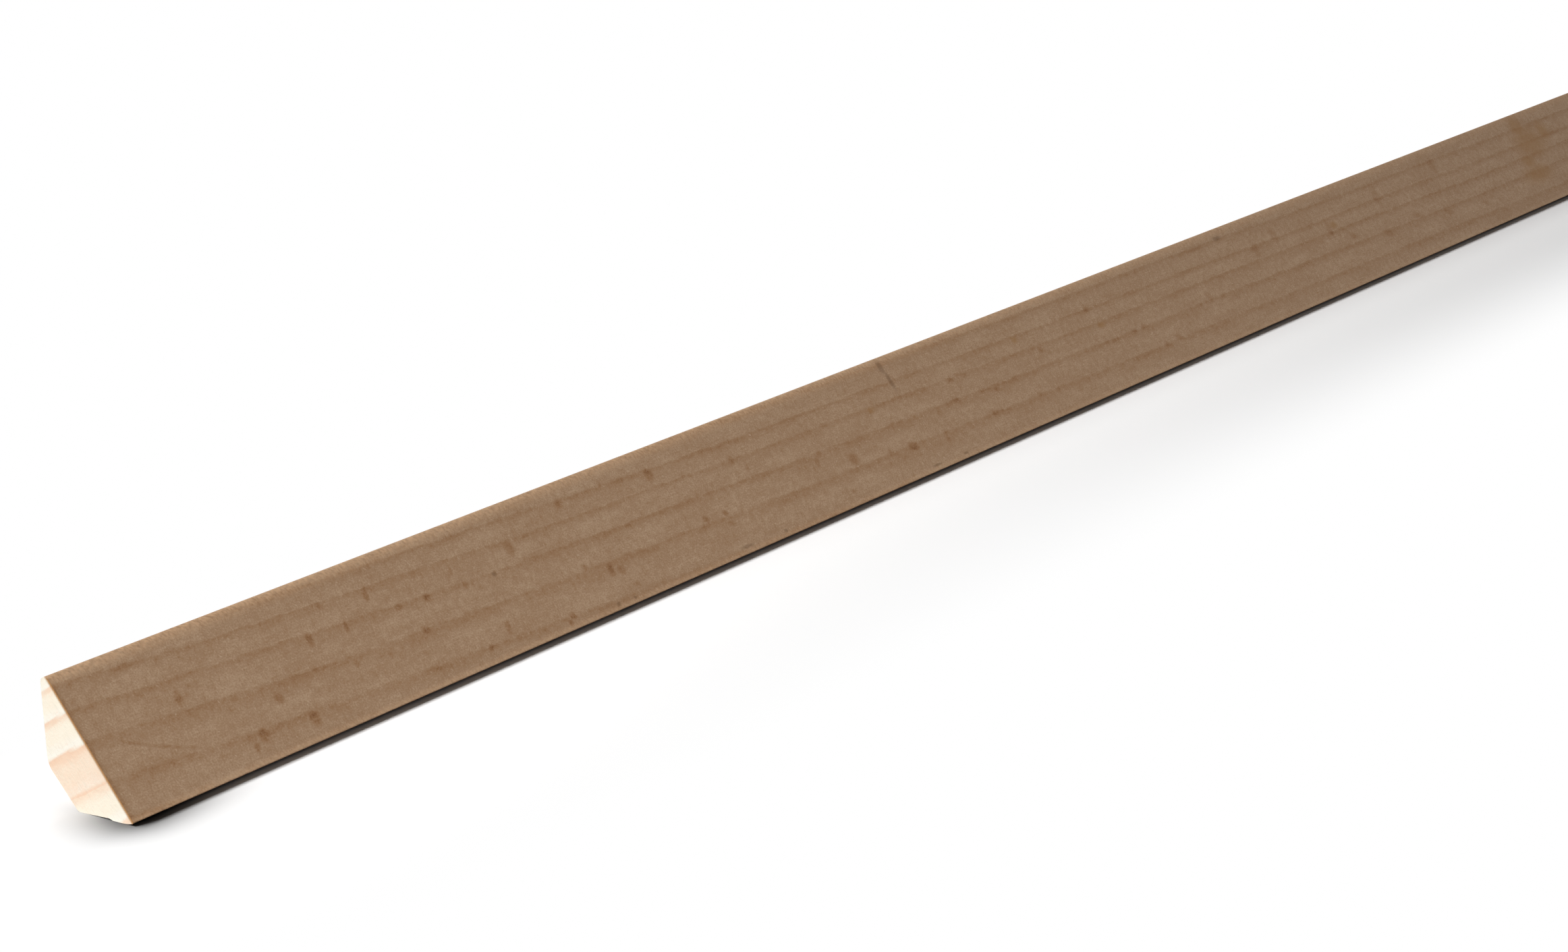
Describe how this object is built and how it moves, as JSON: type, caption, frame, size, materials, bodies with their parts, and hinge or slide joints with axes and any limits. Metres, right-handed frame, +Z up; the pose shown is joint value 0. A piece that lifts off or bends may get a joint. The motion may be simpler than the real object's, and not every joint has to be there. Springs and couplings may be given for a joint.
{
  "type": "shoe moulding",
  "caption": "Length of solid hardwood shoe moulding: flat sloping front, rounded upper edge and thin toe, flat back with a relieved lower edge, to cover the gap between skirting and floor.",
  "frame": {"origin": "on the floor, under the middle of the part's length and depth", "axes": "+X along the length, +Y towards the wall side that the back face presses on, -Y the way the sloping front looks, +Z up"},
  "size_m": [2.4384, 0.016, 0.019],
  "materials": {
    "stained_hardwood": "brown wiping stain under a matt sealer on the showing front, bare sawn wood elsewhere"
  },
  "bodies": {
    "root": {"shoe_moulding": "stained_hardwood"}
  },
  "joints": []
}
